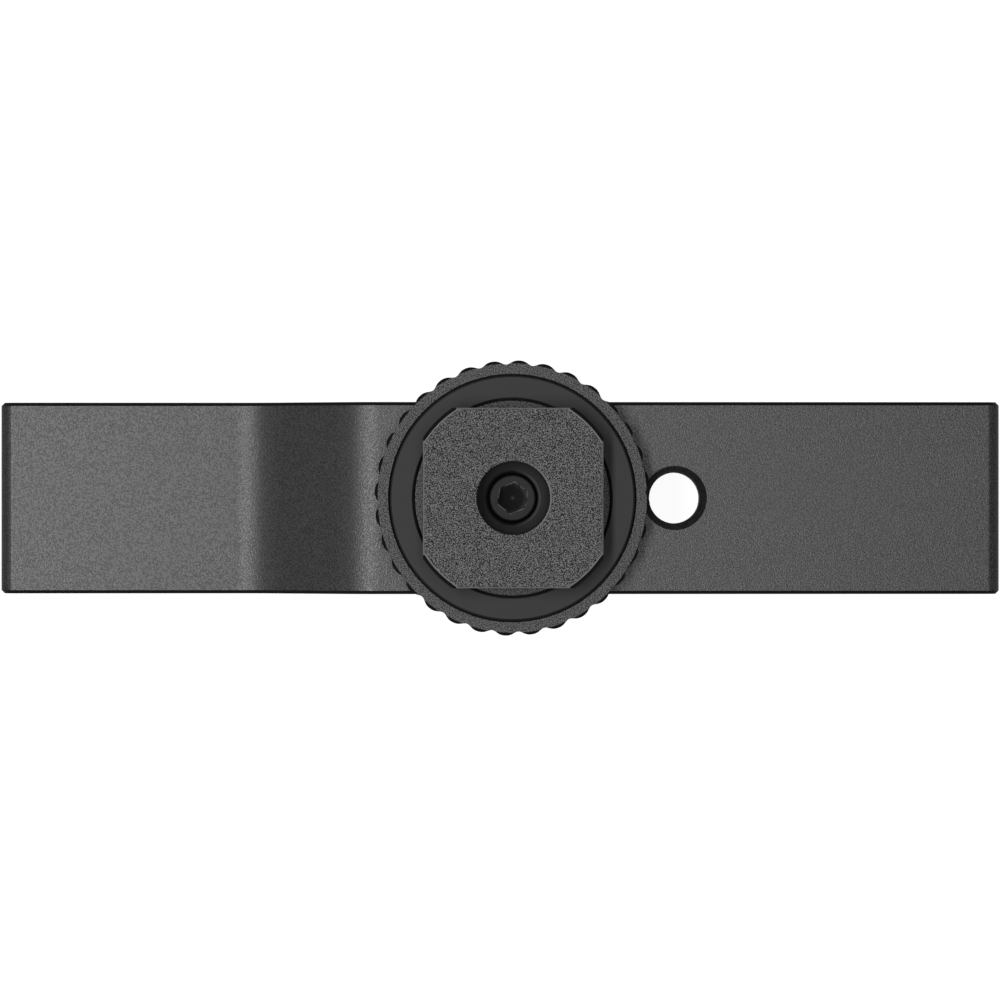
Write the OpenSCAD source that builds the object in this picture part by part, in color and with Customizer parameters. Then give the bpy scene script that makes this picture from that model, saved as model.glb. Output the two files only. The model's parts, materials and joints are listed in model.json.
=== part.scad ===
// Swivelling cold-shoe extension bracket. Millimetres.
// It is drawn lying on its back, shoe foot upwards: the origin is the middle of the foot's outer
// face, +Z points out of that face along the swivel axis, and +X runs along the bar.

/* [Bar] */
// Width of the bar, along Y
bar_w = 20; // [19:0.5:30]
// Thickness of the bar
bar_t = 4.5; // [4:0.1:6]
// How far the stepped end drops away from the foot's side
step_h = 5.3; // [2:0.1:8]
// Length of the slope between its two corners, along X
step_run = 10.2; // [10:0.1:16]
// From the swivel axis to the slope's nearer corner
step_x = 16.1; // [16:0.1:20]
// Radius of the hollow bend at the slope's foot, on the foot's side
hollow_r = 10; // [6:0.1:12]
// Radius of the crowned bend at the slope's head, on the foot's side
crown_r = 10; // [9:0.1:13]
// Rounding of the bar's two ends on the foot's side
end_round = 1.3; // [0.6:0.05:2]
// Chamfer along the sawn sides
edge_chamfer = 0.35; // [0.1:0.05:0.35]

/* [Accessory shoes] */
// From the end of the hollow bend to the shoe at the stepped end
stepped_shoe_gap = 1.9; // [0.8:0.1:20]
// From the swivel axis to the shoe at the straight end
straight_shoe_start = 28.1; // [26:0.1:50]
// Width of a shoe's slot
shoe_slot_w = 18.8; // [18.6:0.1:19.5]
// Height of a shoe's slot
shoe_slot_h = 2.5; // [2.4:0.1:3]
// Gap between a shoe's two lips
shoe_gap_w = 12.7; // [12.5:0.1:13.5]
// Thickness of a lip
shoe_lip_t = 1.5; // [1.2:0.1:2.2]
// Thickness of a shoe's side walls
shoe_wall_t = 2; // [1.5:0.1:2.5]
// Rounding of the lips and walls
shoe_round = 0.5; // [0.5:0.05:0.7]

/* [Shoe springs] */
// Thickness of the spring sheet
spring_t = 0.3; // [0.2:0.05:0.4]
// Rise of the two bowed fingers
spring_rise = 0.6; // [0.3:0.05:0.9]
// Width of a bowed finger
spring_finger_w = 2.3; // [1.6:0.1:2.5]
// Width of the middle strip, which takes the screws
spring_strip_w = 6.4; // [5.4:0.1:8]
// Width of the two bars that join the strip to the fingers
spring_cross_w = 1.9; // [1.2:0.1:2.1]
// From the sheet's end to the side of the bar
spring_end_inset = 1.1; // [0.6:0.1:1.5]
// Height of the end stop above the slot's floor
spring_stop_h = 2.1; // [1.4:0.1:2.3]
// Distance between a spring's two screws
spring_screw_pitch = 9; // [7:0.1:10]

/* [Spring screws] */
// Thread diameter
fixing_d = 2; // [1.6:0.1:2.5]
// Head diameter
fixing_head_d = 3.8; // [3.4:0.1:4.2]
// Length, with the head
fixing_len = 3.2; // [2.4:0.1:3.4]
// Width of the head's cross slot
fixing_slot_w = 0.45; // [0.3:0.05:0.6]
// Depth of the cross slot
fixing_slot_depth = 0.5; // [0.3:0.05:0.7]

/* [Tripod thread] */
// From the swivel axis to the threaded hole
tap_x = 17; // [16.8:0.1:20]
// Bore of the threaded hole, the quarter-inch thread's minor diameter
tap_bore_d = 5.3; // [4:0.1:5.6]
// Countersink at both mouths
tap_mouth_d = 6.7; // [6:0.1:7.2]

/* [Shoe foot] */
// Side of the square foot
foot_w = 18.5; // [18:0.1:18.6]
// Thickness of the foot
foot_t = 1.9; // [1.6:0.1:2.1]
// Diameter of the round that cuts the foot's corners
foot_corner_d = 22.3; // [21:0.1:24]
// Bevel turned on those corners
corner_bevel = 0.35; // [0.2:0.05:0.5]
// Chamfer of the foot's edges, twice that of its recess
foot_chamfer = 0.15; // [0.05:0.05:0.3]
// Height of the foot's face above the bar
foot_stand = 9; // [8.8:0.1:12]
// Outside diameter of the stem's thread
stem_d = 12; // [11.5:0.1:12.4]
// Diameter of the thread's run-out under the foot
relief_d = 10.8; // [10.4:0.1:11.2]
// Height of that run-out
relief_h = 0.8; // [0.5:0.1:1.2]
// Diameter of the recess over the screw's head
recess_d = 7.5; // [7:0.1:8]
// Depth of that recess, down to the ledge round the screw's head
ledge_depth = 3.4; // [2.2:0.1:3.6]
// Rounding of the ledge's inner lip
ledge_round = 0.4; // [0.1:0.05:0.5]
// Thickness of the stem's end wall under the screw's head
stem_end_t = 2; // [1.5:0.1:2.2]

/* [Lock ring] */
// Diameter over the grip's humps
ring_d = 28.5; // [27.5:0.1:28.7]
// Thickness of the ring
ring_t = 3.8; // [3:0.1:4]
// Number of humps round the grip
ring_humps = 32; // [20:1:40]
// Depth of the hollows between the humps
ring_hollow = 0.44; // [0.2:0.02:0.7]
// How much flatter the humps are than the hollows, as a share of half the depth
ring_hump_flat = 0.17; // [0:0.01:0.2]
// Turn of the grip about the axis, in degrees
ring_phase = 3; // [0:0.25:11]
// Chamfer of the ring's two outer rims
ring_chamfer = 0.33; // [0.2:0.01:0.6]
// Gap to the bar when the ring is wound back
ring_park_gap = 0.3; // [0.2:0.05:0.5]

/* [Friction washer] */
// Outside diameter
pad_outer_d = 25.3; // [24:0.1:25.4]
// Width of its face, between its two rims
pad_w = 2.4; // [1.5:0.05:4]
// Thickness
pad_t = 1.3; // [0.8:0.1:1.6]
// How far it stands out of the ring
pad_proud = 0.1; // [0.05:0.05:0.2]
// Gap to the sides of its groove
pad_gap = 0.2; // [0.15:0.01:0.35]

/* [Centre screw] */
// Thread diameter
screw_d = 3.5; // [3:0.1:4]
// Head diameter
screw_head_d = 4.8; // [4.6:0.1:5.4]
// Head height
screw_head_h = 3; // [2.4:0.1:3.6]
// Chamfer round the head's top
screw_head_chamfer = 0.15; // [0.05:0.05:0.25]
// Hexagon socket, across its flats
socket_w = 2.8; // [2.2:0.1:3]
// Depth of the socket
socket_depth = 1.6; // [1.2:0.1:2]
// Turn of the socket about the axis, in degrees
socket_turn = 22; // [0:1:59]
// Length under the head
screw_len = 6.35; // [6:0.05:6.5]

/* [Washers] */
// Thickness of the split spring washer
lock_t = 0.7; // [0.5:0.1:0.9]
// Split in the spring washer
lock_split = 0.6; // [0.3:0.1:1]
// Thickness of the swivel washer under the stem
swivel_t = 0.4; // [0.3:0.05:0.5]
// Depth of the stem's seat in the bar
seat_depth = 0.8; // [0.7:0.05:1]

/* [Fits] */
// Radial clearance of a turning fit
run_fit = 0.05; // [0.02:0.01:0.08]
// Radial clearance of a screw in its thread
thread_fit = 0.02; // [0.01:0.01:0.05]
// Free space round a piece that only lies in place
loose_fit = 0.1; // [0.05:0.01:0.2]

/* [Hidden] */
$fn = 96;

// Longest straight piece in a rounded corner of an outline
arc_chord = 0.22;
// Small edge break on turned pieces
edge_break = 0.15;
// Gap between a shoe's spring and its side walls
spring_side_gap = 0.3;
// Chamfer at the centre screw's tip
screw_tip_chamfer = 0.4;
// Chamfer at the mouth of its socket, and the drill point under the socket's floor
socket_chamfer = 0.1;
drill_point_h = 0.7;
// Straight pieces to each hump of the ring, to half a bowed finger and to the ledge's lip
hump_steps = 12;
bow_steps = 16;
lip_steps = 5;
// How far a cut runs past the surface that it opens
over = 1;
// The same for the chamfer round an outline
cut_over = 0.1;

// Heights, down from the foot's outer face
bar_top = -foot_stand;
bar_back = bar_top - bar_t;
stepped_top = bar_top - step_h;
stepped_back = stepped_top - bar_t;
seat_floor = bar_top - seat_depth;
stem_bottom = seat_floor + swivel_t;
head_floor = stem_bottom + stem_end_t;
screw_under_head = head_floor + lock_t;
screw_top = screw_under_head + screw_head_h;
ring_bottom = bar_top + ring_park_gap;
ring_top = ring_bottom + ring_t;
pad_top = ring_top + pad_proud;
pad_floor = pad_top - pad_t;

// Hole of the friction washer
pad_inner_d = pad_outer_d - 2 * pad_w;

// Where the shoes stand. Each one ends the bar.
shoe_w = shoe_slot_w + 2 * shoe_wall_t;
slope_high_x = -step_x;
slope_low_x = slope_high_x - step_run;

// Both faces turn round the same centre in a bend, so it ends at the same place on both
slope_angle = atan(step_h / step_run);
back_shift = bar_t * tan(slope_angle / 2);
hollow_end_x = slope_low_x - hollow_r * tan(slope_angle / 2);

stepped_shoe_x = hollow_end_x - stepped_shoe_gap - shoe_w / 2;
straight_shoe_x = straight_shoe_start + shoe_w / 2;
bar_left = stepped_shoe_x - shoe_w / 2;
bar_right = straight_shoe_x + shoe_w / 2;

// ---------------------------------------------------------------- outlines

function unit(v) = v / norm(v);

// The arc that rounds corner p, between its neighbours a and b, with radius r
function rounded_corner(p, a, b, r) =
    let (
        u = unit(a - p),
        v = unit(b - p),
        half = acos(u * v) / 2,
        centre = p + unit(u + v) * r / sin(half),
        from = p + u * r / tan(half) - centre,
        to = p + v * r / tan(half) - centre,
        start = atan2(from.y, from.x),
        turn = (atan2(to.y, to.x) - start + 360 + 180) % 360 - 180,
        steps = max(2, ceil(abs(turn) * PI / 180 * r / arc_chord))
    )
    [for (i = [0:steps]) centre + r * [cos(start + turn * i / steps), sin(start + turn * i / steps)]];

// corners is a list of [x, z, radius]; a radius of 0 keeps the corner sharp
function rounded_outline(corners) =
    let (
        n = len(corners),
        p = [for (c = corners) [c[0], c[1]]]
    )
    [for (i = [0:n - 1])
        each corners[i][2] == 0
            ? [p[i]]
            : rounded_corner(p[i], p[(i + n - 1) % n], p[(i + 1) % n], corners[i][2])];

// A clockwise outline, moved inwards by d
function inset_outline(p, d) =
    let (n = len(p))
    [for (i = [0:n - 1])
        let (
            before = unit(p[i] - p[(i + n - 1) % n]),
            after = unit(p[(i + 1) % n] - p[i]),
            n1 = [before.y, -before.x],
            n2 = [after.y, -after.x]
        )
        p[i] + d * (n1 + n2) / (1 + n1 * n2)];

// What a chamfer takes off round the +Y end of a clockwise outline that stands at y = face_y:
// a closed ring with a three-cornered section
module chamfer_cut(outline, face_y, chamfer) {
    n = len(outline);
    rings = [
        [face_y - chamfer - cut_over, inset_outline(outline, -cut_over)],
        [face_y + cut_over, inset_outline(outline, -cut_over)],
        [face_y + cut_over, inset_outline(outline, chamfer + cut_over)]
    ];
    points = [for (ring = rings) each [for (p = ring[1]) [p.x, ring[0], p.y]]];
    faces = [for (k = [0:2], i = [0:n - 1])
        let (
            j = (i + 1) % n,
            here = k * n,
            next = (k + 1) % 3 * n
        )
        each [[here + i, next + i, next + j], [here + i, next + j, here + j]]];
    polyhedron(points, faces);
}

// A clockwise outline in X and Z, extruded along Y, with a chamfer round both ends
module chamfered_bar(outline, width, chamfer) {
    difference() {
        rotate([90, 0, 0]) linear_extrude(width, center = true) polygon(outline);
        for (side = [0, 1])
            mirror([0, side, 0]) chamfer_cut(outline, width / 2, chamfer);
    }
}

// The corners of a shoe whose slot has its middle at x and its floor at z
function shoe_corners(x, z) =
    let (
        outer = shoe_w / 2,
        slot = shoe_slot_w / 2,
        gap = shoe_gap_w / 2,
        lip = z - shoe_slot_h,
        bottom = lip - shoe_lip_t,
        slot_round = shoe_round / 2
    )
    [
        [x + outer, bottom, shoe_round],
        [x + gap, bottom, shoe_round],
        [x + gap, lip, 0],
        [x + slot, lip, 0],
        [x + slot, z, slot_round],
        [x - slot, z, slot_round],
        [x - slot, lip, 0],
        [x - gap, lip, 0],
        [x - gap, bottom, shoe_round],
        [x - outer, bottom, shoe_round]
    ];

function bar_outline() = rounded_outline(concat(
    [
        [bar_left, stepped_top, end_round],
        [slope_low_x, stepped_top, hollow_r],
        [slope_high_x, bar_top, crown_r],
        [bar_right, bar_top, end_round]
    ],
    shoe_corners(straight_shoe_x, bar_back),
    [
        [straight_shoe_x - shoe_w / 2, bar_back, shoe_round],
        [slope_high_x + back_shift, bar_back, crown_r - bar_t],
        [slope_low_x + back_shift, stepped_back, hollow_r + bar_t],
        [stepped_shoe_x + shoe_w / 2, stepped_back, shoe_round]
    ],
    shoe_corners(stepped_shoe_x, stepped_back)
));

// ---------------------------------------------------------------- helpers

// A turned solid: half-profile points are [radius, z]
module turned(profile) rotate_extrude() polygon(profile);

// A round hole from z = low to z = high, opening out by chamfer at both ends
module chamfered_hole(d, low, high, chamfer) {
    r = d / 2;
    turned([
        [0, low - over], [r + chamfer + over, low - over], [r, low + chamfer],
        [r, high - chamfer], [r + chamfer + over, high + over], [0, high + over]
    ]);
}

// Puts what it holds on a shoe's floor, with local +Z pointing at the lips
module on_shoe_floor(x, z) translate([x, 0, z]) mirror([0, 0, 1]) children();

// The four places of the spring screws, as [x, floor]
module at_spring_screws() {
    for (place = [[stepped_shoe_x, stepped_back], [straight_shoe_x, bar_back]])
        for (side = [-1, 1])
            on_shoe_floor(place.x, place.y) translate([0, side * spring_screw_pitch / 2, 0]) children();
}

// ---------------------------------------------------------------- pieces

module extension_bar() {
    tap_chamfer = (tap_mouth_d - tap_bore_d) / 2;
    color("#3a3a3c") difference() {
        chamfered_bar(bar_outline(), bar_w, edge_chamfer);
        // Seat of the stem and its washer
        translate([0, 0, seat_floor]) cylinder(d = stem_d + 2 * run_fit, h = seat_depth + over);
        // Thread of the centre screw
        chamfered_hole(screw_d + 2 * thread_fit, bar_back, seat_floor, edge_break);
        // Tripod thread
        translate([tap_x, 0, 0]) chamfered_hole(tap_bore_d, bar_back, bar_top, tap_chamfer);
        // Seats of the spring screws
        at_spring_screws() spring_screw_seat();
    }
}

module foot_plate() {
    flat = foot_w / 2;
    side = [
        [-flat, foot_chamfer - foot_t], [foot_chamfer - flat, -foot_t], [flat - foot_chamfer, -foot_t],
        [flat, foot_chamfer - foot_t], [flat, -foot_chamfer], [flat - foot_chamfer, 0],
        [foot_chamfer - flat, 0], [-flat, -foot_chamfer]
    ];
    corner = foot_corner_d / 2;
    intersection() {
        rotate([90, 0, 0]) linear_extrude(foot_corner_d, center = true) polygon(side);
        rotate([90, 0, 90]) linear_extrude(foot_corner_d, center = true) polygon(side);
        turned([
            [0, -foot_t], [corner - foot_chamfer, -foot_t], [corner, foot_chamfer - foot_t],
            [corner, -corner_bevel], [corner - corner_bevel, 0], [0, 0]
        ]);
    }
}

module shoe_foot() {
    stem = stem_d / 2;
    relief = relief_d / 2;
    run_out = stem - relief;
    relief_bottom = -foot_t - relief_h;
    recess = recess_d / 2;
    head_bore = screw_head_d / 2 + loose_fit;
    ledge = -ledge_depth;
    lip = [for (i = [0:lip_steps])
        let (a = 90 * i / lip_steps)
        [head_bore + ledge_round * (1 - cos(a)), ledge - ledge_round * (1 - sin(a))]];
    color("#3a3a3c") difference() {
        union() {
            foot_plate();
            turned([
                [0, stem_bottom], [stem - edge_break, stem_bottom], [stem, stem_bottom + edge_break],
                [stem, relief_bottom - run_out], [relief, relief_bottom],
                [relief, -foot_t / 2], [0, -foot_t / 2]
            ]);
        }
        turned([
            [0, head_floor], [head_bore, head_floor], each lip, [recess, ledge], [recess, -foot_chamfer / 2],
            [recess + foot_chamfer / 2 + over, over], [0, over]
        ]);
        translate([0, 0, stem_bottom - over]) cylinder(d = screw_d + 2 * run_fit, h = stem_end_t + 2 * over);
    }
}

module lock_ring() {
    rim = ring_d / 2;
    mean = rim - ring_hollow / 2;
    grip_steps = ring_humps * hump_steps;
    bore = stem_d / 2 + run_fit;
    // One wave a hump: a cosine whose second harmonic flattens the hump and rounds the hollow
    function grip_r(a) = mean + ring_hollow / 2 * (cos(a) + ring_hump_flat * (1 - cos(2 * a)));
    color("#3a3a3c") difference() {
        intersection() {
            translate([0, 0, ring_bottom]) linear_extrude(ring_t) polygon([
                for (i = [0:grip_steps - 1])
                    let (a = 360 * i / grip_steps)
                    grip_r(ring_humps * (a + ring_phase)) * [cos(a), sin(a)]
            ]);
            turned([
                [0, ring_bottom], [rim - ring_chamfer, ring_bottom],
                [rim + over, ring_bottom + ring_chamfer + over], [rim + over, ring_top - ring_chamfer - over],
                [rim - ring_chamfer, ring_top], [0, ring_top]
            ]);
        }
        chamfered_hole(2 * bore, ring_bottom, ring_top, edge_break);
        // Groove of the friction washer
        translate([0, 0, pad_floor]) difference() {
            cylinder(d = pad_outer_d + 2 * pad_gap, h = pad_t + over);
            translate([0, 0, -over]) cylinder(d = pad_inner_d - 2 * pad_gap, h = pad_t + 3 * over);
        }
    }
}

module friction_washer() {
    outer = pad_outer_d / 2;
    inner = pad_inner_d / 2;
    color("#2c2c2e") turned([
        [inner, pad_floor], [outer, pad_floor], [outer, pad_top - edge_break], [outer - edge_break, pad_top],
        [inner + edge_break, pad_top], [inner, pad_top - edge_break]
    ]);
}

module centre_screw() {
    shank = screw_d / 2;
    head = screw_head_d / 2;
    tip = screw_under_head - screw_len;
    // Radius of the socket's six corners
    socket_r = socket_w / 2 / cos(30);
    socket_floor = screw_top - socket_depth;
    color("#242426") difference() {
        turned([
            [0, tip], [shank - screw_tip_chamfer, tip], [shank, tip + screw_tip_chamfer],
            [shank, screw_under_head], [head, screw_under_head],
            [head, screw_top - screw_head_chamfer], [head - screw_head_chamfer, screw_top], [0, screw_top]
        ]);
        rotate(socket_turn) {
            translate([0, 0, socket_floor]) cylinder(r = socket_r, h = socket_depth + over, $fn = 6);
            // Chamfer of its mouth, on all six sides
            translate([0, 0, screw_top - socket_chamfer]) cylinder(
                r1 = socket_r, r2 = socket_r + 2 * socket_chamfer / cos(30), h = 2 * socket_chamfer, $fn = 6
            );
        }
        // Drill point at the socket's floor
        turned([
            [0, socket_floor - drill_point_h], [socket_w / 2, socket_floor],
            [socket_w / 2, screw_top - socket_depth / 2], [0, screw_top - socket_depth / 2]
        ]);
    }
}

module spring_washer() {
    color("#242426") difference() {
        turned([
            [screw_d / 2 + loose_fit, head_floor], [screw_head_d / 2, head_floor],
            [screw_head_d / 2, screw_under_head], [screw_d / 2 + loose_fit, screw_under_head]
        ]);
        translate([-lock_split / 2, 0, head_floor - over]) cube([lock_split, screw_head_d, lock_t + 2 * over]);
    }
}

module swivel_washer() {
    color("#e6e2d8") turned([
        [screw_d / 2 + loose_fit, seat_floor], [stem_d / 2 - loose_fit, seat_floor],
        [stem_d / 2 - loose_fit, stem_bottom], [screw_d / 2 + loose_fit, stem_bottom]
    ]);
}

// Stands on a shoe's floor: a middle strip, two cross bars, two bowed fingers and an end stop
module shoe_spring(x, floor_z) {
    half_w = shoe_slot_w / 2 - spring_side_gap;
    half_l = bar_w / 2 - spring_end_inset;
    bow_l = half_l - spring_cross_w;
    // A finger's end lies inside the cross bar that carries it
    root = half_l - spring_cross_w / 2;
    bow_r = (bow_l * bow_l + spring_rise * spring_rise) / (2 * spring_rise);
    function bowed(i, up) =
        let (y = bow_l * i / bow_steps)
        [y, sqrt(bow_r * bow_r - y * y) - bow_r + spring_rise + up];
    color("#9a9a9c") on_shoe_floor(x, floor_z) difference() {
        union() {
            translate([-spring_strip_w / 2, -half_l, 0]) cube([spring_strip_w, 2 * half_l, spring_t]);
            for (side = [-1, 1])
                translate([-half_w, side * (half_l - spring_cross_w / 2) - spring_cross_w / 2, 0])
                    cube([2 * half_w, spring_cross_w, spring_t]);
            for (side = [-1, 1])
                translate([side * (half_w - spring_finger_w / 2) - spring_finger_w / 2, 0, 0])
                    rotate([90, 0, 90]) linear_extrude(spring_finger_w) polygon(concat(
                        [[-root, 0]],
                        [for (i = [-bow_steps:bow_steps]) bowed(i, 0)],
                        [[root, 0], [root, spring_t]],
                        [for (i = [bow_steps:-1:-bow_steps]) bowed(i, spring_t)],
                        [[-root, spring_t]]
                    ));
            translate([-spring_strip_w / 2, half_l - spring_t, 0])
                cube([spring_strip_w, spring_t, spring_stop_h]);
        }
        for (side = [-1, 1])
            translate([0, side * spring_screw_pitch / 2, 0]) spring_screw_seat();
    }
}

module shoe_spring_stepped() shoe_spring(stepped_shoe_x, stepped_back);

module shoe_spring_straight() shoe_spring(straight_shoe_x, bar_back);

// A flat-headed screw, its head flush with the spring sheet; gap widens it into its own seat
module spring_screw_form(gap) {
    r = fixing_d / 2 + gap;
    head = fixing_head_d / 2 + gap;
    turned([
        [0, spring_t - fixing_len - gap], [r, spring_t - fixing_len - gap], [r, spring_t - head + r],
        [head, spring_t], [head, spring_t + gap], [0, spring_t + gap]
    ]);
}

module spring_screw_seat() spring_screw_form(thread_fit);

module shoe_spring_screws() {
    color("#8c8c8e") at_spring_screws() difference() {
        spring_screw_form(0);
        for (turn = [0, 90])
            rotate(turn) translate([-fixing_head_d / 4, -fixing_slot_w / 2, spring_t - fixing_slot_depth])
                cube([fixing_head_d / 2, fixing_slot_w, fixing_slot_depth + over]);
    }
}

extension_bar();
shoe_foot();
lock_ring();
friction_washer();
centre_screw();
spring_washer();
swivel_washer();
shoe_spring_stepped();
shoe_spring_straight();
shoe_spring_screws();
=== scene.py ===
import json
import math

import bmesh
import bpy
from mathutils import Matrix, Vector


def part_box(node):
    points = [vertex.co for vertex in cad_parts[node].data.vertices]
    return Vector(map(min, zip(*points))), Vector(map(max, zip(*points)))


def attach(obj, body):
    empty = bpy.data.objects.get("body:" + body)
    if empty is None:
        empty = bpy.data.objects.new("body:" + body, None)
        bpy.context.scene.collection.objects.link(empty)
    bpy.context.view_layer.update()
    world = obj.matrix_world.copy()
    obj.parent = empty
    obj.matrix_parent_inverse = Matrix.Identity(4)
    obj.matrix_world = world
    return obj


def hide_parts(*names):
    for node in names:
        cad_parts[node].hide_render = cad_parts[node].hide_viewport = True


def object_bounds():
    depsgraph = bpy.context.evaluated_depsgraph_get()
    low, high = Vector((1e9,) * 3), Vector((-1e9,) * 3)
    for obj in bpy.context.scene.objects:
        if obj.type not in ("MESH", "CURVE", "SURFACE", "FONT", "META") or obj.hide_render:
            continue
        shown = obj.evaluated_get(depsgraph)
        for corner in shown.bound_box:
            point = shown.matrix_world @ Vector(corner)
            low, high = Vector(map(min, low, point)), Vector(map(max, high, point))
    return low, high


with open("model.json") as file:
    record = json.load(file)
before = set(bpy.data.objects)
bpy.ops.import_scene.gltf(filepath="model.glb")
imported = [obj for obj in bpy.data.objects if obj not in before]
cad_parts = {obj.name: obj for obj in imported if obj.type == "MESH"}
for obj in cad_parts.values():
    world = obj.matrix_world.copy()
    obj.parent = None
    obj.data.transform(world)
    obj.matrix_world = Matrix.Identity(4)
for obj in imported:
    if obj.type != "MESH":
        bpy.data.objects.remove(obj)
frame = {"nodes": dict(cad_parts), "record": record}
cad_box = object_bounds()
mm = 0.001

# ---------------------------------------------------------------- sizes, from the frame

bar_low, bar_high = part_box("extension_bar")
foot_low, foot_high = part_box("shoe_foot")
mounts = {m["name"]: m for m in frame["record"]["mounts"]}
tap = mounts["tripod_thread"]
coupling = frame["record"]["behaviour"]["couplings"][0]

# Quarter-inch, 20 threads an inch, cut from under the bar to above it
TAP_PITCH = 1.27 * mm
TAP_MAJOR_R = 3.175 * mm
TAP_START_INSIDE = 0.4 * mm
TAP_LOW = -15 * mm
TAP_HIGH = -8 * mm
# The lock ring's own travel a turn is the stem's pitch
STEM_PITCH = coupling["ratio"] * math.tau
STEM_R = 6 * mm
STEM_THREAD_DEPTH = 0.55 * mm
STEM_THREAD_TOP = -3.0 * mm
# The die's section starts this far outside the stem, and is this share of a full 60-degree groove
DIE_START_OUTSIDE = 0.2 * mm
DIE_WIDTH_SHARE = 0.85

# Where the finish of the bar, the foot, the screw and the ring changes, and where painted shade and
# painted highlights start
TAP_MOUTH_R = 3.36 * mm
TAP_MOUTH_DEPTH = 0.72 * mm
RECESS_R = 3.9 * mm
RECESS_MOUTH_R = 3.82 * mm
LIP_R = 2.78 * mm
SOCKET_R = 1.9 * mm
SOCKET_CHAMFER = 0.1 * mm
CORNER_R = 10.8 * mm
GROOVE_R = 12.9 * mm
GROOVE_DEPTH = 1 * mm
# How far under a face a finish starts, and how wide the pale rims are, which are partly wear and partly
# painted highlight
SKIN = 0.05 * mm
SCREW_SKIN = 0.01 * mm
PALE_RIM = 0.13 * mm

# ---------------------------------------------------------------- camera

CAMERA_PLACE = Vector((-12 * mm, 0, 600 * mm))
CAMERA_AIM = Vector((-1.36 * mm, -0.2 * mm, 0))
SENSOR = 36
LENS = 210.75
NEAREST = 10 * mm
FARTHEST = 20


def facing(place, aim):
    """Where a camera or a lamp stands, so that it looks at aim with +Y upwards."""
    back = (place - aim).normalized()
    right = Vector((0, 1, 0)).cross(back).normalized()
    turn = Matrix((right, back.cross(right), back)).transposed()
    return Matrix.Translation(place) @ turn.to_4x4()


def make_camera():
    data = bpy.data.cameras.new("camera")
    data.sensor_width = SENSOR
    data.lens = LENS
    data.clip_start = NEAREST
    data.clip_end = FARTHEST
    camera = bpy.data.objects.new("camera", data)
    camera.matrix_world = facing(CAMERA_PLACE, CAMERA_AIM)
    bpy.context.scene.collection.objects.link(camera)
    bpy.context.scene.camera = camera


# ---------------------------------------------------------------- materials


class Graph:
    """A node tree, with short calls for what both materials and modifiers use."""

    def __init__(self, tree):
        self.tree = tree

    def add(self, kind, **settings):
        node = self.tree.nodes.new(kind)
        for key, value in settings.items():
            setattr(node, key, value)
        return node

    def put(self, value, socket):
        if isinstance(value, bpy.types.NodeSocket):
            self.tree.links.new(value, socket)
        else:
            socket.default_value = value

    def math(self, operation, a, b=0.0, c=0.0):
        node = self.add("ShaderNodeMath", operation=operation)
        for value, socket in zip((a, b, c), node.inputs):
            self.put(value, socket)
        return node.outputs[0]

    def between(self, value, low, high):
        above = self.math("GREATER_THAN", value, low)
        return self.math("MULTIPLY", above, self.math("LESS_THAN", value, high))

    def radius(self, x, y):
        return self.math("SQRT", self.math("MULTIPLY_ADD", x, x, self.math("MULTIPLY", y, y)))

    def axes(self, vector):
        node = self.add("ShaderNodeSeparateXYZ")
        self.put(vector, node.inputs[0])
        return node.outputs


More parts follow.
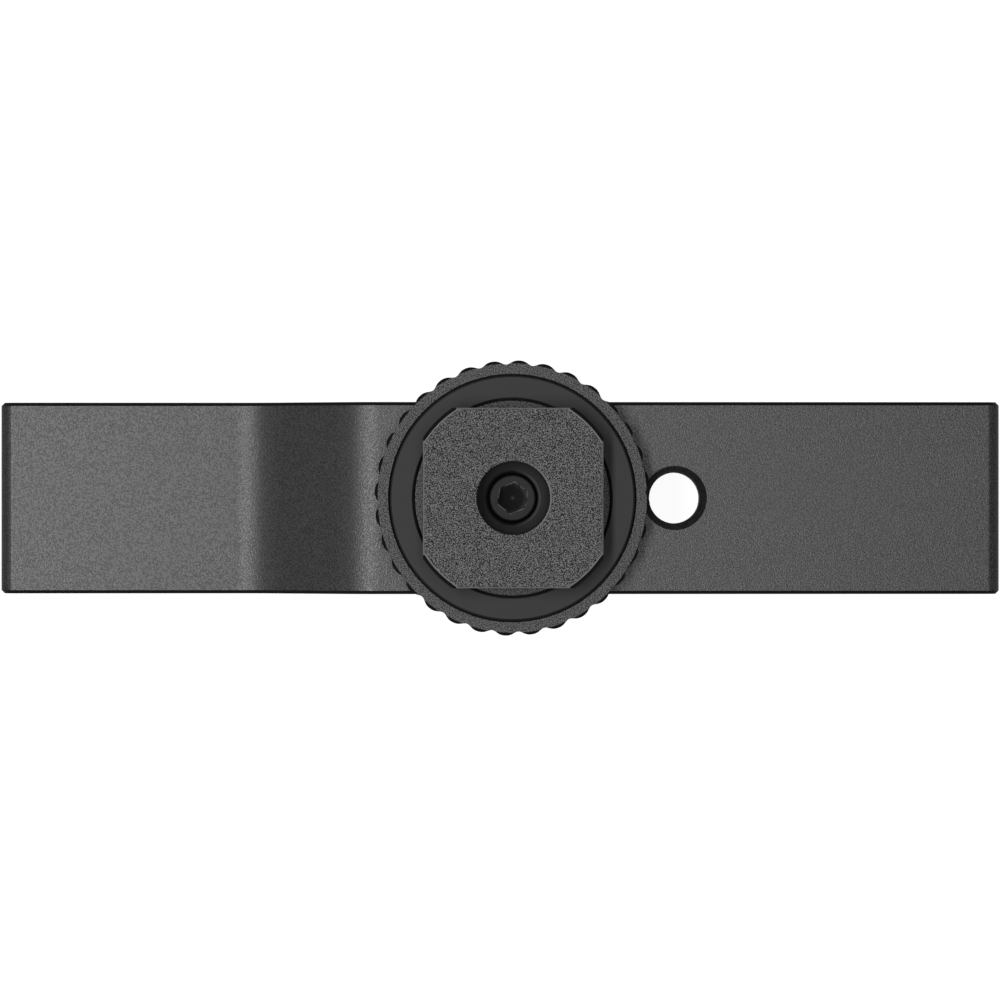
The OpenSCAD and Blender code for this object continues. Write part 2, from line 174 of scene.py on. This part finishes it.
class Nodes(Graph):
    """A material's node tree."""

    def __init__(self, name):
        self.material = bpy.data.materials.new(name)
        self.material.use_nodes = True
        super().__init__(self.material.node_tree)
        self.tree.nodes.clear()
        self.place = self.add("ShaderNodeTexCoord").outputs["Object"]

    def noise(self, size, detail=2.0, roughness=0.5, place=None):
        """Noise whose lumps are about size metres across."""
        node = self.add("ShaderNodeTexNoise")
        self.put(place or self.place, node.inputs["Vector"])
        node.inputs["Scale"].default_value = 1 / size
        node.inputs["Detail"].default_value = detail
        node.inputs["Roughness"].default_value = roughness
        return node.outputs["Fac"]

    def span(self, value, low, high, to_low, to_high):
        """value, carried from low..high to to_low..to_high."""
        node = self.add("ShaderNodeMapRange")
        for v, socket in zip((value, low, high, to_low, to_high), node.inputs):
            self.put(v, socket)
        return node.outputs[0]

    def mix(self, factor, a, b):
        node = self.add("ShaderNodeMix", data_type="RGBA")
        self.put(factor, node.inputs["Factor"])
        self.put((*a, 1) if isinstance(a, tuple) else a, node.inputs[6])
        self.put((*b, 1) if isinstance(b, tuple) else b, node.inputs[7])
        return node.outputs[2]

    def bump(self, height, depth):
        """A bump whose height of 1 stands depth metres proud."""
        node = self.add("ShaderNodeBump")
        node.inputs["Strength"].default_value = 1
        node.inputs["Distance"].default_value = depth
        self.put(height, node.inputs["Height"])
        return node.outputs["Normal"]

    def scaled(self, colour, share):
        """colour, made share times as bright."""
        node = self.add("ShaderNodeVectorMath", operation="SCALE")
        self.put(colour, node.inputs[0])
        self.put(share, node.inputs["Scale"])
        return node.outputs[0]

    def shifted(self, far):
        """The place, moved aside."""
        node = self.add("ShaderNodeVectorMath", operation="ADD")
        self.put(self.place, node.inputs[0])
        node.inputs[1].default_value = (far, far, far)
        return node.outputs[0]

    def turned(self, far, angle):
        """The place, moved aside and turned about Z, for noise that doesn't follow its neighbour."""
        node = self.add("ShaderNodeVectorRotate", rotation_type="Z_AXIS")
        self.put(self.shifted(far), node.inputs["Vector"])
        node.inputs["Angle"].default_value = angle
        return node.outputs[0]

    def stretched(self, x, y, z):
        """The place, each axis divided by its number, so that noise is that much longer along it."""
        node = self.add("ShaderNodeVectorMath", operation="DIVIDE")
        self.put(self.place, node.inputs[0])
        node.inputs[1].default_value = (x, y, z)
        return node.outputs[0]

    def surface(self, colour, roughness, normal=None, **plain):
        """The finished surface. What is in plain goes on the shader's own sockets."""
        shader = self.add("ShaderNodeBsdfPrincipled")
        self.put((*colour, 1) if isinstance(colour, tuple) else colour, shader.inputs["Base Color"])
        self.put(roughness, shader.inputs["Roughness"])
        if normal is not None:
            self.put(normal, shader.inputs["Normal"])
        for key, value in plain.items():
            shader.inputs[key.replace("_", " ")].default_value = value
        out = self.add("ShaderNodeOutputMaterial")
        self.tree.links.new(shader.outputs[0], out.inputs["Surface"])
        return self.material


def blasted(n, colour, roughness, specular, cell, depth, spread, fleck, tints, lean=0,
            wear_and_highlight=None, rubbed_and_highlight=None):
    """Black anodised aluminium, bead-blasted: a fine grain in its height, its gloss and its colour.

    cell is the size of the grain, depth the height of its bump, and spread how far the roughness
    goes either way. The smaller fleck is, the harder the colour's flecks stand out, and tints is how
    dark and how light they are. A larger lean makes the light ones fewer. Where the pale-rim mask is 1,
    the colour is the pale rim colour instead: partly wear, partly painted highlight.
    """
    grain = n.noise(cell, detail=1.5, roughness=0.55)
    coarse = n.noise(cell * 1.1, detail=0, place=n.turned(13 * mm, math.radians(31)))
    fine = n.noise(cell * 0.9, detail=0, place=n.turned(29 * mm, math.radians(68)))
    flecks = n.math("MULTIPLY", n.math("ADD", coarse, fine), 0.5)
    middle = 0.5 + lean
    tint = n.scaled(colour, n.span(flecks, middle - fleck, middle + fleck, *tints))
    # Pale rims: partly wear, partly painted highlight.
    if wear_and_highlight is not None:
        tint = n.mix(wear_and_highlight, tint, rubbed_and_highlight)
    rough = n.span(flecks, 0.4, 0.6, roughness + spread, roughness - spread)
    return n.surface(tint, rough, n.bump(grain, depth), Specular_IOR_Level=specular)


def bar_anodise():
    return blasted(
        Nodes("bar_anodised"), (0.026, 0.026, 0.0265), roughness=0.34, specular=0.5,
        cell=0.14 * mm, depth=0.026 * mm, spread=0.055, fleck=0.06, tints=(0.42, 1.7),
    )


def foot_anodise():
    """The foot's anodising, pale along the rims of its face: partly wear, partly a painted highlight of
    the chamfers; and a painted highlight on the +X side of the recess's mouth.
    """
    n = Nodes("foot_anodised")
    x, y, z = n.axes(n.place)
    far_x, far_y = n.math("ABSOLUTE", x), n.math("ABSOLUTE", y)
    along = n.math("MAXIMUM", far_x, far_y)
    far = n.radius(x, y)
    # Pale rims along the face's edges: partly wear, partly a painted highlight of the chamfers.
    wear_and_highlight = n.math("MAXIMUM", n.math("GREATER_THAN", along, foot_high.x - PALE_RIM),
                  n.math("GREATER_THAN", far, CORNER_R - PALE_RIM))
    # Painted highlight: the recess's mouth is paler only towards +X.
    mouth = n.math("LESS_THAN", far, RECESS_MOUTH_R + PALE_RIM)
    wear_and_highlight = n.math("MAXIMUM", wear_and_highlight, n.math("MULTIPLY", mouth, n.span(x, 1 * mm, 3 * mm, 0, 1)))
    wear_and_highlight = n.math("MULTIPLY", wear_and_highlight, n.math("GREATER_THAN", z, -PALE_RIM - SKIN))
    return blasted(
        n, (0.08, 0.08, 0.081), roughness=0.42, specular=0.08,
        cell=0.1 * mm, depth=0.03 * mm, spread=0.12, fleck=0.045, tints=(0.2, 2.8), lean=0.0225,
        wear_and_highlight=wear_and_highlight, rubbed_and_highlight=(0.19, 0.19, 0.192),
    )


def ring_anodise():
    return blasted(
        Nodes("ring_anodised"), (0.075, 0.075, 0.076), roughness=0.4, specular=0.15,
        cell=0.115 * mm, depth=0.02 * mm, spread=0.05, fleck=0.1, tints=(0.24, 1.95),
    )


def machined_and_shade_anodise():
    """Near-black anodised aluminium on chamfers, bevels and the ring's groove: partly the finish the
    tool left, partly painted shade standing in for dark lines along edges and the shade in the groove.
    """
    n = Nodes("machined_anodised")
    lines = n.noise(0.09 * mm, detail=2, place=n.stretched(14, 14, 1))
    cloud = n.noise(3 * mm, detail=2)
    # Painted shade in part: near-black, so that chamfers, bevels and the groove read as dark lines.
    tint = n.mix(cloud, (0.004, 0.004, 0.004), (0.008, 0.008, 0.0085))
    rough = n.span(lines, 0.3, 0.7, 0.38, 0.46)
    return n.surface(tint, rough, n.bump(lines, 0.0012 * mm), Specular_IOR_Level=0.11)


def mouth_anodise():
    """The tapped hole's countersink, duller and paler than the near-black chamfers, bevels and groove.
    """
    n = Nodes("mouth_anodised")
    fine = n.noise(0.2 * mm, detail=3)
    tint = n.mix(n.span(fine, 0.35, 0.65, 0, 1), (0.01, 0.01, 0.01), (0.028, 0.028, 0.0285))
    return n.surface(tint, 0.45, n.bump(fine, 0.003 * mm), Specular_IOR_Level=0.2)


def recess_shade_and_highlight_anodise():
    """The recess round the screw, near-black as painted shade in it, with a painted highlight along the
    +X side of its ledge's rim.
    """
    n = Nodes("recess_anodised")
    x, y, _ = n.axes(n.place)
    cloud = n.noise(1.5 * mm, detail=2)
    # Painted highlight along the ledge's rim, on its +X side only.
    at_lip = n.between(n.radius(x, y), LIP_R - PALE_RIM, LIP_R + PALE_RIM)
    lip_highlight = n.math("MULTIPLY", at_lip, n.span(x, 0, 2 * mm, 0, 1))
    # Painted shade: the recess is near-black, far darker than the foot's face.
    tint = n.mix(cloud, (0.003, 0.003, 0.003), (0.008, 0.008, 0.0085))
    tint = n.mix(lip_highlight, tint, (0.045, 0.045, 0.046))
    return n.surface(tint, 0.42, Specular_IOR_Level=0.11)


def rubbed_steel():
    """The rim of the screw's socket, pale: partly wear from its key, partly a painted highlight of the
    socket's edges.
    """
    n = Nodes("rubbed_steel")
    cloud = n.noise(0.6 * mm, detail=2)
    tint = n.mix(n.span(cloud, 0.4, 0.6, 0, 1), (0.02, 0.02, 0.02), (0.2, 0.2, 0.2))
    return n.surface(tint, 0.45, Specular_IOR_Level=0.3)


def thread_anodise():
    """Black anodised aluminium on a cut thread, smoother than the rest."""
    n = Nodes("thread_anodised")
    lines = n.noise(0.06 * mm, detail=2, place=n.stretched(1, 1, 8))
    cloud = n.noise(2 * mm, detail=2)
    tint = n.mix(cloud, (0.01, 0.01, 0.01), (0.016, 0.016, 0.0165))
    rough = n.span(lines, 0.3, 0.7, 0.2, 0.28)
    return n.surface(tint, rough, n.bump(lines, 0.0008 * mm))


def washer_black():
    """Smooth satin plastic."""
    n = Nodes("washer_black")
    fine = n.noise(0.12 * mm, detail=2)
    cloud = n.noise(4 * mm, detail=2)
    tint = n.mix(cloud, (0.019, 0.019, 0.019), (0.022, 0.022, 0.0225))
    rough = n.span(fine, 0.3, 0.7, 0.49, 0.52)
    return n.surface(tint, rough, n.bump(fine, 0.0006 * mm), Specular_IOR_Level=0.29)


def screw_black():
    """Black-oxide steel."""
    n = Nodes("screw_black")
    fine = n.noise(0.15 * mm, detail=3)
    cloud = n.noise(1.5 * mm, detail=2)
    tint = n.mix(cloud, (0.009, 0.009, 0.009), (0.018, 0.018, 0.0185))
    rough = n.span(fine, 0.3, 0.7, 0.4, 0.5)
    return n.surface(tint, rough, n.bump(fine, 0.001 * mm), Specular_IOR_Level=0.16)


def washer_nylon():
    """Natural nylon."""
    n = Nodes("washer_nylon")
    cloud = n.noise(1.2 * mm, detail=2)
    fine = n.noise(0.1 * mm, detail=2)
    tint = n.mix(cloud, (0.68, 0.66, 0.58), (0.76, 0.74, 0.67))
    return n.surface(tint, 0.45, n.bump(fine, 0.0008 * mm))


def spring_steel():
    """Rolled stainless sheet, its grain along Y."""
    n = Nodes("spring_steel")
    grain = n.noise(0.05 * mm, detail=3, place=n.stretched(1, 18, 1))
    cloud = n.noise(3 * mm, detail=2)
    tint = n.mix(grain, (0.48, 0.48, 0.49), (0.6, 0.6, 0.6))
    rough = n.span(cloud, 0.3, 0.7, 0.26, 0.34)
    return n.surface(tint, rough, n.bump(grain, 0.0005 * mm), Metallic=1.0)


def screw_steel():
    """Turned stainless steel."""
    n = Nodes("screw_steel")
    fine = n.noise(0.1 * mm, detail=3)
    tint = n.mix(fine, (0.4, 0.4, 0.41), (0.55, 0.55, 0.55))
    rough = n.span(fine, 0.3, 0.7, 0.25, 0.35)
    return n.surface(tint, rough, n.bump(fine, 0.0006 * mm), Metallic=1.0)


MATERIALS = {
    "bar_anodised": bar_anodise,
    "foot_anodised": foot_anodise,
    "ring_anodised": ring_anodise,
    "washer_black": washer_black,
    "screw_black": screw_black,
    "washer_nylon": washer_nylon,
    "spring_steel": spring_steel,
    "screw_steel": screw_steel,
}

# ---------------------------------------------------------------- shading of edges

SMOOTH_ANGLE = math.radians(28)
WELD = 0.0005 * mm
# How much of a chamfer's unit normal lies along Y on the bar, and along Z on the ring: these chamfers
# are painted near-black, partly as painted shade
BAR_CHAMFER = (0.5, 0.9)
RING_CHAMFER = (0.5, 0.8)


def steep(axis, low, high):
    """Picks the faces whose normal's part along the axis lies between low and high, either way."""
    def pick(g, normal, place):
        return g.between(g.math("ABSOLUTE", normal[axis]), low, high)
    return pick


def in_tube(x, inner, outer, low, high):
    """Picks the faces in an upright tube between two radii about x, from z = low to z = high."""
    def pick(g, normal, place):
        far = g.radius(g.math("SUBTRACT", place["X"], x), place["Y"])
        return g.math("MULTIPLY", g.between(far, inner, outer), g.between(place["Z"], low, high))
    return pick


def edge_shading(name, paints=()):
    """A modifier's node group. It welds the seams of the CAD and keeps only true edges sharp.

    Each of the paints is a material and what picks its faces. A later one covers an earlier one.
    """
    g = Graph(bpy.data.node_groups.new(name, "GeometryNodeTree"))
    for way in ("INPUT", "OUTPUT"):
        g.tree.interface.new_socket("Geometry", in_out=way, socket_type="NodeSocketGeometry")
    forget = g.add("GeometryNodeRemoveAttribute")
    forget.inputs["Name"].default_value = "custom_normal"
    weld = g.add("GeometryNodeMergeByDistance")
    weld.inputs["Distance"].default_value = WELD
    smooth = g.add("GeometryNodeSetShadeSmooth")
    sharpen = g.add("GeometryNodeSetShadeSmooth", domain="EDGE")
    sharpen.inputs["Shade Smooth"].default_value = False
    angle = g.add("GeometryNodeInputMeshEdgeAngle").outputs["Unsigned Angle"]
    g.put(g.math("GREATER_THAN", angle, SMOOTH_ANGLE), sharpen.inputs["Selection"])
    chain = [g.add("NodeGroupInput"), forget, weld, smooth, sharpen]
    normal = g.axes(g.add("GeometryNodeInputNormal").outputs[0])
    place = g.axes(g.add("GeometryNodeInputPosition").outputs[0])
    for material, pick in paints:
        paint = g.add("GeometryNodeSetMaterial")
        paint.inputs["Material"].default_value = material
        g.put(pick(g, normal, place), paint.inputs["Selection"])
        chain.append(paint)
    chain.append(g.add("NodeGroupOutput"))
    for a, b in zip(chain, chain[1:]):
        g.tree.links.new(a.outputs["Geometry"], b.inputs["Geometry"])
    return g.tree


def shade(piece, group):
    piece.modifiers.new("edge_shading", "NODES").node_group = group
    weighted = piece.modifiers.new("weighted_normals", "WEIGHTED_NORMAL")
    weighted.keep_sharp = True


# ---------------------------------------------------------------- threads

TURN_STEPS = 72


def helix_cutter(name, axis_x, base_r, tip_r, pitch, half_base, low, high):
    """A coil with a three-cornered section: base_r and tip_r are the radii of its base and tip."""
    turns = (high - low) / pitch
    steps = math.ceil(turns * TURN_STEPS)
    mesh = bmesh.new()
    rows = []
    for i in range(steps + 1):
        a = math.tau * turns * i / steps
        z = low + pitch * turns * i / steps
        out = Vector((math.cos(a), math.sin(a), 0))
        middle = Vector((axis_x, 0, z))
        rows.append([
            mesh.verts.new(middle + out * base_r + Vector((0, 0, -half_base))),
            mesh.verts.new(middle + out * tip_r),
            mesh.verts.new(middle + out * base_r + Vector((0, 0, half_base))),
        ])
    for a, b in zip(rows, rows[1:]):
        for k in range(3):
            m = (k + 1) % 3
            mesh.faces.new((a[k], a[m], b[m], b[k]))
    mesh.faces.new(rows[0])
    mesh.faces.new(rows[-1])
    bmesh.ops.recalc_face_normals(mesh, faces=mesh.faces)
    data = bpy.data.meshes.new(name)
    mesh.to_mesh(data)
    mesh.free()
    cutter = bpy.data.objects.new(name, data)
    bpy.context.scene.collection.objects.link(cutter)
    return cutter


def threaded_copy(name, node, cutter):
    """A welded copy of a CAD node with the cutter taken out of it, in the node's place."""
    source = frame["nodes"][node]
    mesh = bmesh.new()
    mesh.from_mesh(source.data)
    bmesh.ops.remove_doubles(mesh, verts=mesh.verts, dist=WELD)
    data = bpy.data.meshes.new(name)
    mesh.to_mesh(data)
    mesh.free()
    piece = bpy.data.objects.new(name, data)
    bpy.context.scene.collection.objects.link(piece)
    cut = piece.modifiers.new("thread", "BOOLEAN")
    cut.operation, cut.solver, cut.object = "DIFFERENCE", "EXACT", cutter
    bpy.context.view_layer.update()
    graph = bpy.context.evaluated_depsgraph_get()
    done = bpy.data.meshes.new_from_object(piece.evaluated_get(graph))
    piece.modifiers.clear()
    piece.data = done
    done.name = name
    bpy.data.objects.remove(cutter)
    bpy.data.meshes.remove(data)
    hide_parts(node)
    return piece


def flank(depth):
    """Half the width of a 60-degree groove at its mouth."""
    return depth * math.tan(math.radians(30))


def thread_bar():
    start = tap["dims"]["r_mm"] * mm - TAP_START_INSIDE
    cutter = helix_cutter(
        "tap", tap["pos_m"][0], start, TAP_MAJOR_R, TAP_PITCH, flank(TAP_MAJOR_R - start),
        TAP_LOW, TAP_HIGH,
    )
    return threaded_copy("extension_bar_threaded", "extension_bar", cutter)


def thread_foot():
    outer = STEM_R + DIE_START_OUTSIDE
    root = STEM_R - STEM_THREAD_DEPTH
    cutter = helix_cutter(
        "die", 0, outer, root, STEM_PITCH, flank(outer - root) * DIE_WIDTH_SHARE,
        foot_low.z - STEM_PITCH, STEM_THREAD_TOP,
    )
    return threaded_copy("shoe_foot_threaded", "shoe_foot", cutter)


# ---------------------------------------------------------------- stage

FLOOR_R = 1.6
FLOOR_MIDDLE_R = 0.4
FLOOR_GAP = 0.02 * mm
FLOOR_SIDES = 96
COVE_R = 0.25
COVE_STEPS = 12
WALL_TOP = 0.55


def make_floor():
    """A round floor just under the object, that curves up into a low wall."""
    z = cad_box[0].z - FLOOR_GAP
    profile = [(FLOOR_MIDDLE_R, z), (FLOOR_R - COVE_R, z)]
    for i in range(1, COVE_STEPS + 1):
        a = math.pi / 2 * i / COVE_STEPS
        profile.append((FLOOR_R - COVE_R + COVE_R * math.sin(a), z + COVE_R * (1 - math.cos(a))))
    profile.append((FLOOR_R, z + WALL_TOP))
    turns = [math.tau * k / FLOOR_SIDES for k in range(FLOOR_SIDES)]
    mesh = bmesh.new()
    rings = [[mesh.verts.new((r * math.cos(a), r * math.sin(a), h)) for a in turns] for r, h in profile]
    middle = mesh.verts.new((0, 0, z))
    for k in range(FLOOR_SIDES):
        m = (k + 1) % FLOOR_SIDES
        mesh.faces.new((middle, rings[0][k], rings[0][m]))
        for a, b in zip(rings, rings[1:]):
            mesh.faces.new((a[k], b[k], b[m], a[m]))
    data = bpy.data.meshes.new("floor")
    mesh.to_mesh(data)
    mesh.free()
    for face in data.polygons:
        face.use_smooth = True
    floor = bpy.data.objects.new("floor", data)
    bpy.context.scene.collection.objects.link(floor)
    data.materials.append(floor_white())


FLOOR_COLOUR = (0.3, 0.3, 0.3)
# What the floor adds to the lamps' light on it: to the camera, and in reflections
FLOOR_GLOW = 0.92
FLOOR_MIRRORED_GLOW = 0.15


def floor_white():
    """White board: it keeps shadows, and shows white to the camera and in reflections."""
    n = Nodes("floor_white")
    path = n.add("ShaderNodeLightPath")
    mirrored = n.math("MAXIMUM", path.outputs["Is Glossy Ray"], path.outputs["Is Transmission Ray"])
    level = n.math("ADD", n.math("MULTIPLY", path.outputs["Is Camera Ray"], FLOOR_GLOW),
                   n.math("MULTIPLY", mirrored, FLOOR_MIRRORED_GLOW))
    board = n.add("ShaderNodeBsdfDiffuse")
    board.inputs["Color"].default_value = (*FLOOR_COLOUR, 1)
    glow = n.add("ShaderNodeEmission")
    n.put(level, glow.inputs["Strength"])
    both = n.add("ShaderNodeAddShader")
    n.tree.links.new(board.outputs[0], both.inputs[0])
    n.tree.links.new(glow.outputs[0], both.inputs[1])
    out = n.add("ShaderNodeOutputMaterial")
    n.tree.links.new(both.outputs[0], out.inputs["Surface"])
    return n.material


# Tilt from straight above, towards +X, and watts of the lamps, which are strips along Y
LAMPS = {
    "key": (math.radians(-14), 4.65),
    "fill": (math.radians(6), 1.05),
    "side": (math.radians(-50), 0.42),
}
LAMP_DISTANCE = 1.0
LAMP_WIDTH = 0.12
LAMP_HEIGHT = 0.6
WORLD_LEVEL = 0.25


def make_lights():
    for name, (tilt, watts) in LAMPS.items():
        data = bpy.data.lights.new(name, "AREA")
        data.shape = "RECTANGLE"
        data.size = LAMP_WIDTH
        data.size_y = LAMP_HEIGHT
        data.energy = watts
        lamp = bpy.data.objects.new(name, data)
        place = Vector((math.sin(tilt), 0, math.cos(tilt))) * LAMP_DISTANCE
        lamp.matrix_world = facing(place, Vector((0, 0, 0)))
        bpy.context.scene.collection.objects.link(lamp)
    world = bpy.data.worlds.new("studio")
    bpy.context.scene.world = world
    world.use_nodes = True
    background = world.node_tree.nodes["Background"]
    background.inputs["Color"].default_value = (1, 1, 1, 1)
    background.inputs["Strength"].default_value = WORLD_LEVEL


# ---------------------------------------------------------------- the scene


def painted_edges():
    """The node group of each part whose finish changes from face to face, some of it painted shade and
    painted highlight.
    """
    # The near-black material made here paints chamfers, bevels and the ring's groove dark: partly the
    # tool's finish, partly painted shade.
    machined_and_shade, cut_thread = machined_and_shade_anodise(), thread_anodise()
    ring_low, ring_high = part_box("lock_ring")
    screw_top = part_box("centre_screw")[1].z
    socket_low = screw_top - SOCKET_CHAMFER
    tap_x = tap["pos_m"][0]
    deep = bar_low.z
    mouth_top = bar_high.z - SKIN
    stem_root = STEM_R - STEM_THREAD_DEPTH - SKIN
    return {
        "extension_bar": edge_shading("bar_edges", [
            # The bar's chamfers near-black: partly painted shade.
            (machined_and_shade, steep("Y", *BAR_CHAMFER)),
            (mouth_anodise(), in_tube(tap_x, 0, TAP_MOUTH_R, deep, mouth_top)),
            (cut_thread, in_tube(tap_x, 0, TAP_MOUTH_R, deep, bar_high.z - TAP_MOUTH_DEPTH)),
        ]),
        "shoe_foot": edge_shading("foot_edges", [
            # The recess near-black as painted shade, with a painted highlight on its ledge.
            (recess_shade_and_highlight_anodise(), in_tube(0, 0, RECESS_R, deep, -SKIN)),
            # The foot's corner bevels near-black: partly painted shade.
            (machined_and_shade, in_tube(0, CORNER_R, 2 * CORNER_R, deep, -SKIN)),
            (cut_thread, in_tube(0, stem_root, STEM_R + SKIN, foot_low.z, STEM_THREAD_TOP)),
        ]),
        "centre_screw": edge_shading("screw_edges", [
            # The socket's rim pale: partly wear, partly painted highlight.
            (rubbed_steel(), in_tube(0, 0, SOCKET_R, socket_low, screw_top - SCREW_SKIN)),
        ]),
        "lock_ring": edge_shading("ring_edges", [
            # The ring's chamfers and groove near-black: partly painted shade.
            (machined_and_shade, steep("Z", *RING_CHAMFER)),
            (machined_and_shade, in_tube(0, 0, GROOVE_R, ring_low.z + GROOVE_DEPTH, ring_high.z - SKIN)),
        ]),
    }


def main():
    make_camera()
    threaded = {
        "extension_bar": thread_bar(),
        "shoe_foot": thread_foot(),
    }
    bodies = frame["record"]["behaviour"]["bodies"]
    body_of = {node: body for body, nodes in bodies.items() for node in nodes}
    edges = painted_edges()
    plain = edge_shading("edges")
    made = {}
    for part in frame["record"]["subparts"]:
        node, slot = part["node"], part["material_slot"]
        if slot not in made:
            made[slot] = MATERIALS[slot]()
        piece = threaded.get(node, frame["nodes"][node])
        piece.data.materials.clear()
        piece.data.materials.append(made[slot])
        shade(piece, edges.get(node, plain))
        if node in threaded:
            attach(piece, body_of[node])
    make_floor()
    make_lights()
    bpy.context.scene.view_settings.view_transform = "Standard"


main()
